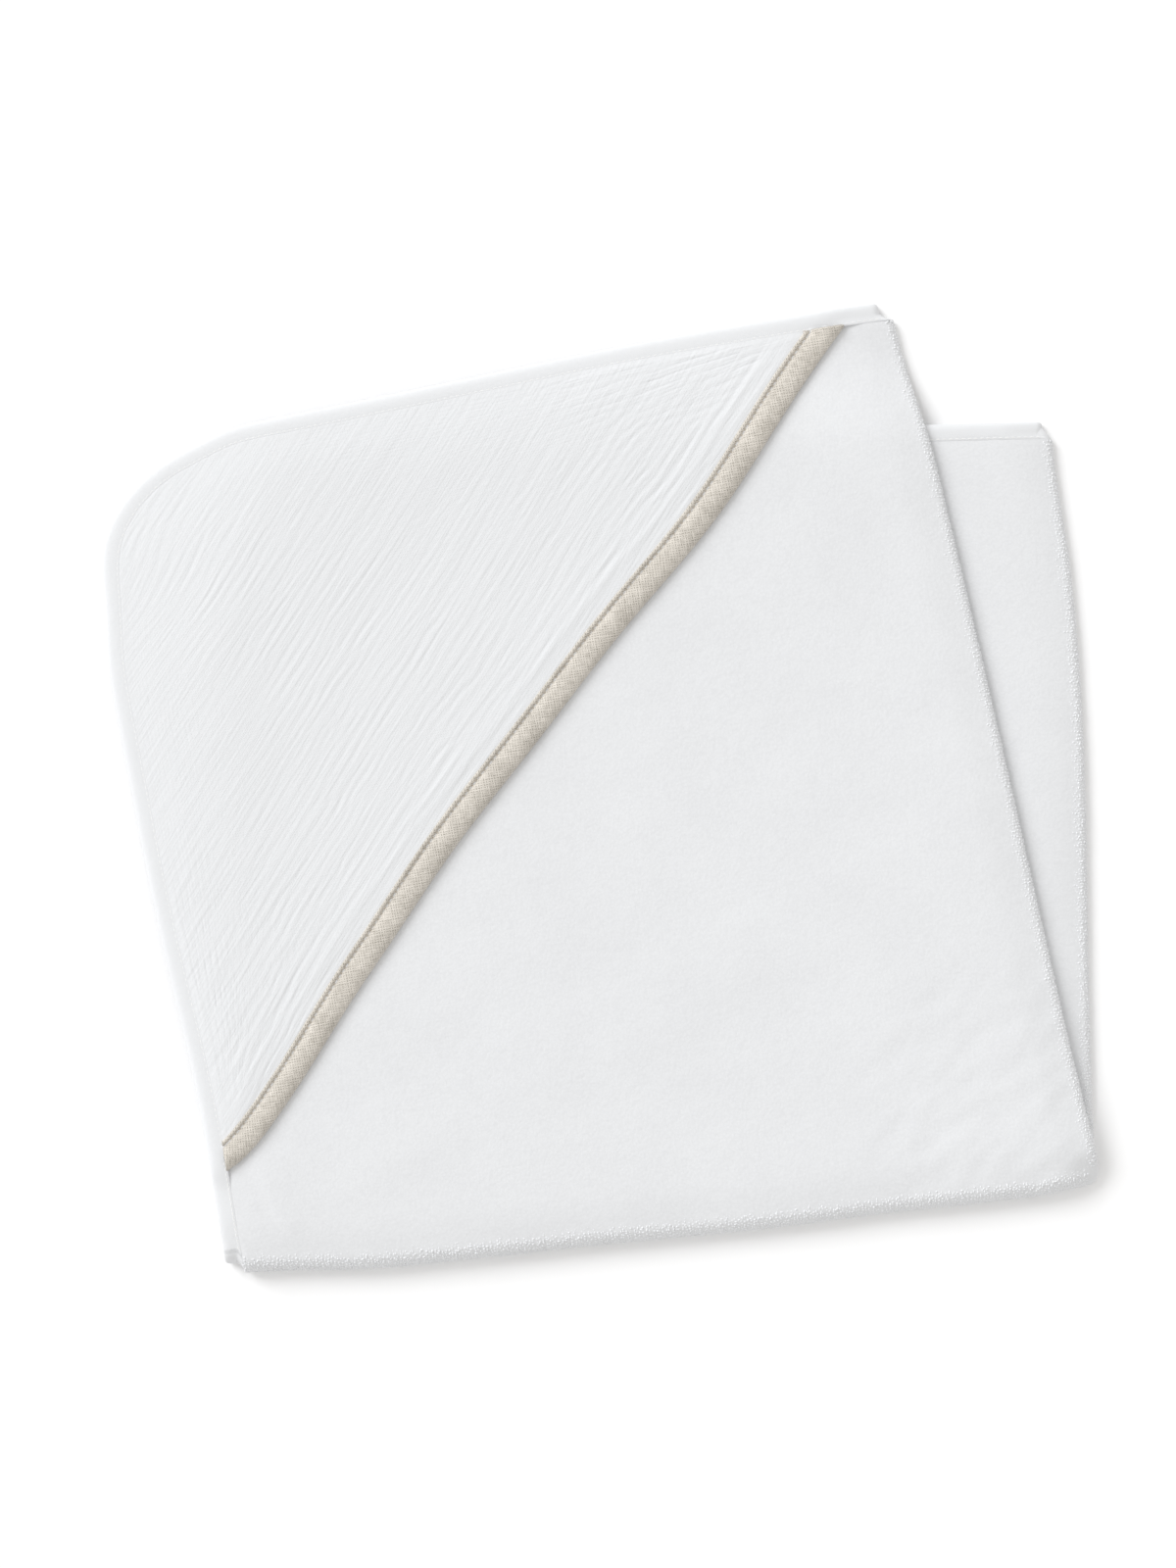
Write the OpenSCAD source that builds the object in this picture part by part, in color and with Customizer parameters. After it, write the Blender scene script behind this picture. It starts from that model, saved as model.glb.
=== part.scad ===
// Hooded baby towel, folded in four and lying flat.
//
// The square terry towel is folded twice. The first fold puts its right half underneath, and the
// second puts its bottom half under that, so four layers lie on each other. From the top they are
// the hood quarter, the side quarter, the back quarter and the base quarter.
// The hood quarter and the side quarter are the upper half, joined by the upper side fold.
// The back quarter and the base quarter are the lower half, joined by the lower side fold.
// The two halves fan out from the bottom right corner, and the bottom fold joins them.
// The origin is under the middle of the stack, on the table. +X runs along the bottom fold,
// and +Y away from it. All lengths are in millimetres.

/* [Towel] */
// Height of the hood quarter, from the bottom fold to the corner before it is rounded
upper_side = 381; // [340:1:420]
// Width of the hood quarter along its bound top edge
upper_top = 380; // [365:1:395]
// Height of the back quarter, from the bottom fold to the corner before it is rounded
lower_side = 381; // [340:1:400]
// Width of the back quarter along its bound top edge
lower_top = 388; // [370:1:400]
// Length of the bottom fold
fold_len = 400; // [385:1:420]
// Turn of the upper half, anticlockwise from square with the bottom fold, in degrees
upper_turn = 5; // [0:0.5:8]
// Turn of the lower half, anticlockwise from square with the bottom fold, in degrees
lower_turn = -4.5; // [-8:0.5:0]
// Radius of the towel's rounded corners
corner_r = 82; // [40:1:110]
// Thickness of one layer of terry
terry_t = 3.4; // [2.6:0.1:4.5]
// Gap between two layers that lie on each other
layer_gap = 0.4; // [0.4:0.1:1]

/* [Edge binding] */
// Width of the white binding that covers the towel's edge
binding_w = 8; // [5:0.5:10]
// How far the binding's faces lie below the terry's pile
binding_sink = 0.2; // [0.1:0.05:0.3]
// Width of a row of stitching
thread_w = 0.5; // [0.3:0.1:0.8]
// How far a row of stitching stands above the cloth
thread_t = 0.25; // [0.1:0.05:0.3]

/* [Hood] */
// Length of the hood along the towel's side edge, to the middle of its front tape
hood_side = 337; // [250:1:350]
// Length of the hood along the towel's top edge, to the middle of its front tape
hood_top = 360; // [250:1:365]
// Thickness of the hood's terry lining
lining_t = 1.8; // [1.2:0.1:3]
// Thickness of the hood's crinkled gauze, over its ribs
gauze_t = 1.8; // [1.4:0.1:2.5]
// Width of the beige tape on the hood's front edge
tape_w = 12.7; // [8:0.1:20]
// Thickness of the beige tape, rolled over the hood's edge
tape_t = 4.4; // [3.8:0.1:6]
// Distance of the tape's stitching from the hood side of the tape
tape_stitch_in = 2.2; // [2.2:0.1:5]
// Length of one stitch on the tape
stitch_len = 2.3; // [1.5:0.1:2.5]
// Distance from one stitch to the next
stitch_pitch = 3.2; // [2.8:0.1:5]

/* [Hidden] */

// Colours
terry_white = "#eef0f1";
gauze_white = "#f2f3f4";
binding_white = "#f0f1f2";
tape_beige = "#cdc6bc";
thread_white = "#e4e4e2";
thread_beige = "#b9b1a5";

// Each half as its turn, its height and its bound top width
upper = [upper_turn, upper_side, upper_top];
lower = [lower_turn, lower_side, lower_top];

// Underside of each layer, from the table up
layer_rise = terry_t + layer_gap;
base_z = 0;
back_z = layer_rise;
side_z = 2 * layer_rise;
hood_z = 3 * layer_rise;
stack_mid_z = side_z - layer_gap / 2;
upper_mid_z = hood_z - layer_gap / 2;
lower_mid_z = back_z - layer_gap / 2;

// The bottom fold's line, where the flat layers end and the rolled cloth begins
fold_y = -190;
fold_start = [-fold_len / 2, fold_y];
fold_stop = [fold_len / 2, fold_y];

// Rolled folds: the small roll joins neighbouring layers, the big one the outermost two
small_roll_r = terry_t + layer_gap / 2;
big_roll_r = 2 * terry_t + 1.5 * layer_gap;

// The terry's thinned edge, which the binding closes over. It grows out of the full thickness a
// little way inside the binding, and stops short of the binding's ends.
tongue_in = 1.2;
tongue_grow = 1;
tongue_root = binding_w + tongue_grow;
tongue_end_gap = 1;
tongue_z = 1;
tongue_t = 1.4;

// Gap between the flat binding and its rolled lengths at the folds
binding_end_gap = 0.05;

// How far two pieces of one cloth overlap where they are fused, and how far a cutting shape
// reaches past what it cuts
fuse = 0.2;
cut_margin = 1;

// The hood's thinned edges: how far the gauze dips into the lining there, its thickness, how
// thickly the binding covers it, and the gap to the full cloth above them
gauze_dip = 0.6;
gauze_edge_t = 1;
binding_cover = 0.6;
root_gap = 0.1;

// Heights in the hood, whose edges share the binding with the terry
lining_z = hood_z + terry_t + layer_gap;
gauze_z = lining_z + lining_t;
tape_z = lining_z - layer_gap / 2;
lining_tongue_z = hood_z + tongue_z + tongue_t;
gauze_tongue_z = gauze_z - gauze_dip;
gauze_tongue_top = gauze_tongue_z + gauze_edge_t;
hood_binding_top = gauze_tongue_top + binding_cover;
hood_tongue_root = binding_w - root_gap;

// The hood's front edge, and how far its cloth reaches into the tape
hood_edge_len = norm([hood_side, hood_top]);
hood_edge_turn = atan2(hood_side, hood_top);
tape_grip = 8;
tape_hood_side = -tape_w / 2;
hood_cloth_edge = tape_hood_side + tape_grip;
hood_tongue_edge = hood_cloth_edge - tongue_end_gap;
gauze_tongue_edge = tape_hood_side - tongue_end_gap;
tape_gauze_t = 0.8;
tape_round = 1.9;

// Distance of the tape's first and last stitches from the ends of the hood's front edge
stitch_start = 20;

arc_steps = 18;
$fn = 64;

// ---- outlines, seen from above ----
// A half's outline is drawn with its rounded corner at the origin, its side edge down -Y and its
// top edge along +X. place_half() then turns it and sets its bottom edge on the bottom fold.

// The half's bottom right corner, where the side fold meets the bottom fold
function far_corner(half) =
    [fold_len * cos(half[0]), -fold_len * sin(half[0]) - half[1]];

// The rounded corner, moved inwards by d
function corner_arc(d) =
    [for (i = [0 : arc_steps])
        let (a = 180 - 90 * i / arc_steps)
        [corner_r + (corner_r - d) * cos(a), -corner_r + (corner_r - d) * sin(a)]];

// The half's bound edge, moved inwards by d, from the bottom fold to the side fold. It stops
// short of both folds by end_gap.
function bound_edge(half, d, end_gap = 0) =
    let (c = far_corner(half))
    concat(
        [[d, -half[1] + (c.y + half[1]) * d / c.x + end_gap]],
        corner_arc(d),
        [[half[2] - (c.x - half[2]) * d / c.y - end_gap, -d]]
    );

// The hood's bound edge, moved inwards by d. The hood's front edge is moved out by reach.
function hood_bound_edge(d, reach) =
    let (s = hood_side * hood_top + reach * hood_edge_len)
    concat(
        [[d, -(s - d * hood_side) / hood_top]],
        corner_arc(d),
        [[(s - d * hood_top) / hood_side, -d]]
    );

function reversed(points) = [for (i = [len(points) - 1 : -1 : 0]) points[i]];

function half_outline(half, d) = concat(bound_edge(half, d), [far_corner(half)]);

function band_outline(half, d_out, d_in, end_gap = 0) =
    concat(bound_edge(half, d_out, end_gap), reversed(bound_edge(half, d_in, end_gap)));

function hood_band_outline(d_out, d_in, reach) =
    concat(hood_bound_edge(d_out, reach), reversed(hood_bound_edge(d_in, reach)));

module place_half(half) {
    translate(fold_start)
        rotate(half[0])
            translate([0, half[1]])
                children();
}

// A flat piece between two heights
module slab(points, z_low, z_high) {
    translate([0, 0, z_low])
        linear_extrude(z_high - z_low)
            polygon(points);
}

// ---- terry ----

// The thinned edge of one quarter, and the space for it inside the binding
module tongue(half, z) {
    slab(
        band_outline(half, tongue_in, tongue_root, tongue_end_gap),
        z + tongue_z, z + tongue_z + tongue_t
    );
}

module terry_quarter(half, z) {
    color(terry_white)
        place_half(half) {
            slab(half_outline(half, binding_w), z, z + terry_t);
            tongue(half, z);
        }
}

// Cloth rolled through a half turn about the line from p to q, out to the line's right.
// Only the part from start to stop along the line and from z_low to z_high is kept.
module rolled_fold(p, q, start, stop, z_mid, r_out, thickness, z_low, z_high) {
    way = q - p;
    translate(p)
        rotate(atan2(way.y, way.x))
            translate([start, 0, 0])
                rotate([90, 0, 90])
                    linear_extrude(stop - start)
                        intersection() {
                            translate([0, z_mid])
                                difference() {
                                    circle(r_out);
                                    circle(r_out - thickness);
                                }
                            translate([-r_out, z_low])
                                square([r_out, z_high - z_low]);
                        }
}

// The part of a rolled side fold from start to stop, measured from the bottom fold up
module side_fold(half, start, stop, z_mid, sink) {
    top_corner = [half[2], 0];
    place_half(half)
        rolled_fold(
            far_corner(half), top_corner, start, stop, z_mid,
            small_roll_r - sink, terry_t - 2 * sink,
            z_mid - small_roll_r, z_mid + small_roll_r
        );
}

function side_fold_len(half) = norm([half[2], 0] - far_corner(half));

module terry_side_fold(half, z_mid) {
    color(terry_white)
        side_fold(half, 0, side_fold_len(half) - binding_w, z_mid, 0);
}

module binding_side_fold(half, z_mid) {
    side_fold(half, side_fold_len(half) - binding_w, side_fold_len(half), z_mid, binding_sink);
}

// One half of a rolled bottom fold: side is 1 for the upper half and -1 for the lower half
module bottom_fold(start, stop, r_out, thickness, side) {
    z_near = stack_mid_z + side * layer_gap / 2;
    z_far = stack_mid_z + side * r_out;
    rolled_fold(
        fold_start, fold_stop, start, stop, stack_mid_z,
        r_out, thickness, min(z_near, z_far), max(z_near, z_far)
    );
}

module terry_bottom_fold(r_out, side) {
    color(terry_white)
        bottom_fold(binding_w, fold_len, r_out, terry_t, side);
}

module binding_bottom_fold(r_out, side) {
    bottom_fold(0, binding_w, r_out - binding_sink, terry_t - 2 * binding_sink, side);
}

module hood_quarter_terry() { terry_quarter(upper, hood_z); }
module side_quarter_terry() { terry_quarter(upper, side_z); }
module back_quarter_terry() { terry_quarter(lower, back_z); }
module base_quarter_terry() { terry_quarter(lower, base_z); }
module upper_side_fold() { terry_side_fold(upper, upper_mid_z); }
module lower_side_fold() { terry_side_fold(lower, lower_mid_z); }
module outer_fold_upper() { terry_bottom_fold(big_roll_r, 1); }
module outer_fold_lower() { terry_bottom_fold(big_roll_r, -1); }
module inner_fold_upper() { terry_bottom_fold(small_roll_r, 1); }
module inner_fold_lower() { terry_bottom_fold(small_roll_r, -1); }

// ---- edge binding ----

// A channel of binding along one quarter's bound edge, closed over the terry's thinned edge
module binding_channel(half, z) {
    difference() {
        slab(
            band_outline(half, 0, binding_w, binding_end_gap),
            z + binding_sink, z + terry_t - binding_sink
        );
        tongue(half, z);
    }
}

// The hood quarter's channel is higher where it also closes over the hood's edges
module hood_quarter_channel() {
    difference() {
        union() {
            slab(
                band_outline(upper, 0, binding_w, binding_end_gap),
                hood_z + binding_sink, hood_z + terry_t - binding_sink
            );
            slab(
                hood_band_outline(0, binding_w, tape_w / 2),
                hood_z + tongue_z, hood_binding_top
            );
        }
        tongue(upper, hood_z);
        slab(
            hood_band_outline(tongue_in, tongue_root, hood_tongue_edge),
            hood_z + tongue_z + tongue_t / 2, gauze_tongue_top
        );
    }
}

module hood_quarter_binding() {
    color(binding_white) {
        place_half(upper) hood_quarter_channel();
        binding_side_fold(upper, upper_mid_z);
        binding_bottom_fold(big_roll_r, 1);
    }
}

module side_quarter_binding() {
    color(binding_white) {
        place_half(upper) binding_channel(upper, side_z);
        binding_bottom_fold(small_roll_r, 1);
    }
}

module back_quarter_binding() {
    color(binding_white) {
        place_half(lower) binding_channel(lower, back_z);
        binding_side_fold(lower, lower_mid_z);
        binding_bottom_fold(small_roll_r, -1);
    }
}

module base_quarter_binding() {
    color(binding_white) {
        place_half(lower) binding_channel(lower, base_z);
        binding_bottom_fold(big_roll_r, -1);
    }
}

// ---- stitching ----

// Where the binding's row of stitching lies, in from the towel's edge
row_in = binding_w - 1.2;
row_out = row_in - thread_w;

module stitch_row(half, z) {
    face_z = z + terry_t - binding_sink;
    place_half(half)
        slab(band_outline(half, row_out, row_in), face_z, face_z + thread_t);
}

// The row on the hood quarter climbs onto the binding where it covers the hood
module hood_stitch_row() {
    face_z = hood_z + terry_t - binding_sink;
    place_half(upper) {
        difference() {
            slab(band_outline(upper, row_out, row_in), face_z, face_z + thread_t);
            slab(
                hood_bound_edge(0, tape_w / 2 + root_gap),
                face_z - cut_margin, face_z + cut_margin
            );
        }
        slab(
            hood_band_outline(row_out, row_in, tape_w / 2),
            hood_binding_top, hood_binding_top + thread_t
        );
    }
}

module upper_binding_stitching() {
    color(thread_white) {
        hood_stitch_row();
        stitch_row(upper, side_z);
    }
}

module lower_binding_stitching() {
    color(thread_white) {
        stitch_row(lower, back_z);
        stitch_row(lower, base_z);
    }
}

// ---- hood ----

module hood_lining() {
    color(terry_white)
        place_half(upper) {
            slab(hood_bound_edge(binding_w, hood_cloth_edge), lining_z, gauze_z);
            slab(
                hood_band_outline(tongue_in, tongue_root, hood_tongue_edge),
                lining_z + fuse, gauze_tongue_z
            );
            slab(
                hood_band_outline(tongue_in, hood_tongue_root, hood_tongue_edge),
                lining_tongue_z, lining_z + 2 * fuse
            );
        }
}

module hood_gauze() {
    color(gauze_white)
        place_half(upper) {
            slab(hood_bound_edge(binding_w, tape_hood_side), gauze_z, gauze_z + gauze_t);
            slab(
                hood_bound_edge(tongue_root, hood_cloth_edge),
                gauze_z, gauze_z + tape_gauze_t
            );
            slab(
                hood_band_outline(tongue_in, tongue_root, gauze_tongue_edge),
                gauze_z + fuse / 2, gauze_tongue_top
            );
            slab(
                hood_band_outline(tongue_in, hood_tongue_root, gauze_tongue_edge),
                gauze_tongue_z, gauze_z + fuse
            );
        }
}

// Along the hood's front edge: +X up the edge, +Y towards the hood
module place_front_edge() {
    place_half(upper)
        translate([0, -hood_side])
            rotate(hood_edge_turn)
                children();
}

// A flat band with rounded edges, seen from its end
module rounded_band(w, t, r) {
    union() {
        translate([-w / 2 + r, 0]) square([w - 2 * r, t]);
        translate([-w / 2, r]) square([w, t - 2 * r]);
        for (x = [-w / 2 + r, w / 2 - r], y = [r, t - r])
            translate([x, y]) circle(r);
    }
}

module tape_section() {
    slot_t = lining_t + tape_gauze_t;
    difference() {
        rounded_band(tape_w, tape_t, tape_round);
        translate([tape_w / 2 - tape_grip, lining_z - tape_z]) square([tape_w, slot_t]);
    }
}

module hood_edge_tape() {
    color(tape_beige)
        intersection() {
            place_front_edge()
                translate([0, 0, tape_z])
                    rotate([90, 0, 90])
                        linear_extrude(hood_edge_len)
                            tape_section();
            place_half(upper)
                slab(
                    half_outline(upper, binding_w),
                    tape_z - cut_margin, tape_z + tape_t + cut_margin
                );
        }
}

module hood_tape_stitching() {
    count = floor((hood_edge_len - 2 * stitch_start) / stitch_pitch);
    row_y = tape_w / 2 - tape_stitch_in;
    color(thread_beige)
        place_front_edge()
            for (i = [0 : count - 1])
                translate([stitch_start + i * stitch_pitch, row_y - thread_w / 2, tape_z + tape_t])
                    cube([stitch_len, thread_w, thread_t]);
}

hood_quarter_terry();
side_quarter_terry();
upper_side_fold();
outer_fold_upper();
inner_fold_upper();
hood_lining();
hood_gauze();
hood_edge_tape();
hood_tape_stitching();
hood_quarter_binding();
side_quarter_binding();
upper_binding_stitching();
back_quarter_terry();
base_quarter_terry();
lower_side_fold();
outer_fold_lower();
inner_fold_lower();
back_quarter_binding();
base_quarter_binding();
lower_binding_stitching();
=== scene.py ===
"""A hooded baby towel, folded in four and lying flat: the cloth, its hood, tape, binding and stitches.

All lengths are in metres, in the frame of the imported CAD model. Every piece of cloth is laid by one
mapping, fold(), which knows where the two folds are, and then by relax(), which lets it settle.
"""
import math

import bpy
import numpy as np
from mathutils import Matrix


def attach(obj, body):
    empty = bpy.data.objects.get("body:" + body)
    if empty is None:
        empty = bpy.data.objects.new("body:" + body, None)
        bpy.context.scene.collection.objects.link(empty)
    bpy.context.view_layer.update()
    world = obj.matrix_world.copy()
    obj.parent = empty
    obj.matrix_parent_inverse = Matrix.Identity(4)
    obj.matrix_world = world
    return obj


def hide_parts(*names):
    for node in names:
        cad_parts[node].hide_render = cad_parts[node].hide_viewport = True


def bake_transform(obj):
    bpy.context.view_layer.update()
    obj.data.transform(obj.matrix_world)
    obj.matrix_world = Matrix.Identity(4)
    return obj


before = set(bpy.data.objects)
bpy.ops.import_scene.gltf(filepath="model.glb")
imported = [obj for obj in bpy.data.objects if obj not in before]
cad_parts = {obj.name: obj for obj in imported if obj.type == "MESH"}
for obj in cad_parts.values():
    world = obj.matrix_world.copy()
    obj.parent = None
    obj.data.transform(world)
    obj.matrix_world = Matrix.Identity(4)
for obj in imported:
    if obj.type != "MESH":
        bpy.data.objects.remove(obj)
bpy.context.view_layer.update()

MM = 0.001
PI = math.pi

# ---- the towel's driving sizes, as the CAD source has them ----

FOLD_Y = -190 * MM
FOLD_LEN = 400 * MM
CORNER_R = 82 * MM
TERRY_T = 3.4 * MM
LAYER_GAP = 0.4 * MM
BINDING_W = 8 * MM
HOOD_SIDE = 337 * MM
HOOD_TOP = 360 * MM
HOOD_EDGE = math.hypot(HOOD_SIDE, HOOD_TOP)
TAPE_W = 12.7 * MM
TAPE_STITCH_IN = 2.2 * MM

LAYER_RISE = TERRY_T + LAYER_GAP
ROLL_R = LAYER_RISE / 2          # middle of the cloth, round the fold between two layers
STACK_MID = 2 * LAYER_RISE - LAYER_GAP / 2
HALF_T = TERRY_T / 2

FLAT_SIDE = 0.75                 # the square of terry before it is folded


class Half:
    """Two layers of the folded towel: a four-sided outline with its rounded corner at (0, 0), its
    side edge down -Y and its top edge along +X, turned and set on the bottom fold."""

    def __init__(self, turn, side, top):
        self.turn, self.side, self.top = math.radians(turn), side, top
        self.c, self.s = math.cos(self.turn), math.sin(self.turn)
        self.far = np.array([FOLD_LEN * self.c, -FOLD_LEN * self.s - side])
        corner, far = self.place(top, 0), self.place(*self.far)
        up = np.array(corner) - np.array(far)
        up /= np.linalg.norm(up)
        self.out = np.array([up[1], -up[0]])   # out of the side fold

    def place(self, x, y):
        """The half's own x and y to the row frame."""
        y = y + self.side
        return -FOLD_LEN / 2 + self.c * x - self.s * y, FOLD_Y + self.s * x + self.c * y

    def fold_x(self, y):
        """Where the straight line of the side fold is, at a height y."""
        corner, end = self.place(self.top, 0), self.place(*self.far)
        return corner[0] + (y - corner[1]) * (end[0] - corner[0]) / (end[1] - corner[1])

    def laid(self, p, n):
        """Points and directions in the half's own frame, to the row frame."""
        x, y = n[:, 0], n[:, 1]
        turned = [self.c * x - self.s * y, self.s * x + self.c * y]
        return np.stack(self.place(p[:, 0], p[:, 1]), -1), np.stack(turned, -1)

    def own(self, x, y):
        """The row frame to the half's own x and y."""
        x, y = x + FOLD_LEN / 2, y - FOLD_Y
        return self.c * x + self.s * y, -self.s * x + self.c * y - self.side


UPPER = Half(5, 381 * MM, 380 * MM)
LOWER = Half(-4.5, 381 * MM, 388 * MM)


# ---- small helpers ----

def smooth(t):
    """A soft step from 0 to 1."""
    t = np.clip(t, 0, 1)
    return t * t * (3 - 2 * t)


def ramp(x, low, high):
    """A soft step from 0 at x = low to 1 at x = high."""
    return smooth((x - low) / (high - low))


def bump(x, centre, width):
    """A smooth hill of height 1."""
    return np.exp(-(((x - centre) / width) ** 2))


def unit(v):
    """The vectors along the last axis, made one long."""
    return v / np.linalg.norm(v, axis=-1, keepdims=True)


def along_across(x, y, turn):
    """A place as its distances along and across a direction, turned from +X."""
    c, s = math.cos(turn), math.sin(turn)
    return x * c + y * s, -x * s + y * c


def run_along(points):
    """How far along a line of points each of them is."""
    return np.concatenate([[0], np.cumsum(np.linalg.norm(np.diff(points, axis=0), axis=1))])


def path_normals(path):
    """The normal at each point of a flat path, to the left of the way it runs."""
    tangent = unit(np.gradient(path, axis=0))
    return np.stack([-tangent[:, 1], tangent[:, 0]], -1)


_rng = np.random.default_rng(11)
_PERM = np.tile(_rng.permutation(256), 3)
_ANGLE = _rng.uniform(0, 2 * PI, 256)
_GX, _GY = np.cos(_ANGLE), np.sin(_ANGLE)


def noise(x, y, seed):
    """Gradient noise, about -0.7 to 0.7, with one lump for each unit of x and y."""
    x, y = np.broadcast_arrays(np.asarray(x, float), np.asarray(y, float))
    xi, yi = np.floor(x).astype(int), np.floor(y).astype(int)
    xf, yf = x - xi, y - yi

    def corner(dx, dy):
        h = _PERM[_PERM[(xi + dx + 17 * seed) & 255] + ((yi + dy) & 255)] & 255
        return _GX[h] * (xf - dx) + _GY[h] * (yf - dy)

    u = xf**3 * (xf * (6 * xf - 15) + 10)
    v = yf**3 * (yf * (6 * yf - 15) + 10)
    low = corner(0, 0) * (1 - u) + corner(1, 0) * u
    high = corner(0, 1) * (1 - u) + corner(1, 1) * u
    return low * (1 - v) + high * v


def inset(x, y):
    """How far a point in a half's own frame lies inside its bound edge."""
    r = CORNER_R
    in_corner = (x < r) & (y > -r)
    return np.where(in_corner, r - np.hypot(r - x, r + y), np.minimum(x, -y))


# ---- the folded stack ----

def fold(x, y, out, alpha, beta, k):
    """A point of cloth. x and y are in the row frame, on the flat layer or on the fold's line.
    alpha goes from 0 to pi round the side fold and beta from 0 to pi round the bottom fold.
    out is the way out of the side fold, and k the height above the middle of the cloth."""
    reach = LAYER_RISE + (ROLL_R + k) * np.cos(alpha)
    side = (ROLL_R + k) * np.sin(alpha)
    px = x + side * out[..., 0]
    py = y + side * out[..., 1] - reach * np.sin(beta)
    pz = STACK_MID + reach * np.cos(beta)
    return np.stack(np.broadcast_arrays(px, py, pz), -1)


def side_fold_bulge(y, depth, half_low):
    """How far each half's side fold stands out from the straight line of the CAD model. The terry
    swells, and the binding, which is thinner, folds more tightly. depth is from the top edge."""
    upper = (1.7 + 3.2 * ramp(y, -190 * MM, 140 * MM)) * MM
    lower = 6.1 * MM * bump(y, 28 * MM, 122 * MM)
    bulge = upper * (1 - half_low) + lower * half_low
    bulge = bulge - 2.8 * MM * ramp(depth, 80 * MM, 10 * MM)
    bound = ramp(depth, 8.4 * MM, 5.0 * MM)
    return bulge * (1 - bound) - (3.4 + 1.4 * half_low) * MM * bound


def corner_push(own_x, own_y):
    """The upper half's corner isn't quite round: it stands out towards its side edge, and in
    towards its top edge.
    Gives how far, and the way out from the middle of the corner's arc."""
    cx, cy = own_x - CORNER_R, own_y + CORNER_R
    away = np.hypot(cx, cy) + 1e-9
    turn = np.arctan2(cy, -cx)
    push = 2.0 * bump(turn, math.radians(33), math.radians(19))
    push = push - 1.7 * bump(turn, math.radians(73), math.radians(13))
    push = push * MM * ramp(away, 30 * MM, CORNER_R)
    return push, cx / away, cy / away


def bottom_fold_lift(x):
    """How far the bottom fold curves up at its two ends, more so where the binding crosses it."""
    left = 4.6 * MM * ramp(x, -120 * MM, -192 * MM) + 5.0 * MM * ramp(x, -190.5 * MM, -194.5 * MM)
    right = 1.2 * MM * ramp(x, 60 * MM, 120 * MM) + 2.8 * MM * ramp(x, 168 * MM, 204 * MM)
    return left + right


def overhang(x, y):
    """0 where the lower half lies under a point, rising to 1 well outside its bound edge."""
    ox, oy = LOWER.own(x, y)
    at_fold = ramp(x, 20 * MM, 150 * MM)
    return ramp(-inset(ox, oy), -15 * MM + 6 * MM * at_fold, 85 * MM - 48 * MM * at_fold)


def corner_rumple(x, y):
    """Small slanting wrinkles where both folds meet, at the bottom right."""
    cx, cy = x - FOLD_LEN / 2, y - FOLD_Y
    away = np.hypot(cx + 42 * MM, cy - 42 * MM)
    along, across = along_across(cx, cy, math.radians(36))
    across = across + 4 * MM * noise(x / (30 * MM), y / (30 * MM), 8)
    strength = np.exp(-((away / (58 * MM)) ** 4))
    fine = 0.5 * noise(across / (4.5 * MM), along / (14 * MM), 4)
    return 0.75 * MM * strength * (noise(across / (9 * MM), along / (28 * MM), 3) + fine)


def tape_end_dimple(x, y):
    """The terry sinks a little below the lower end of the hood's tape."""
    cx, cy = x + 179 * MM, y + 160 * MM
    along, across = along_across(cx, cy, math.radians(-69))
    step = 0.9 * MM * (ramp(across, -3 * MM, 4 * MM) - 0.6 * ramp(across, 2 * MM, 26 * MM))
    return step * np.exp(-((along / (20 * MM)) ** 4)) * ramp(across, -12 * MM, -2 * MM)


def settle_fold(z, base, height, past, thin, sag):
    """Rounds off a stack of that height over base at a fold: it gets thinner by the share thin, and
    at its edge the lower cloth sags to the base, so that the fold is widest low down.
    past is the distance outside the fold's straight line."""
    share = np.maximum((z - base) / height, 0)
    near = ramp(past, -8 * MM, 1 * MM)
    sagged = np.where(share < 1, share ** (1 + sag * near), share)
    edge = 1 - thin * ramp(past, -17 * MM, 8 * MM)
    return base + height * sagged * edge


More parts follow.
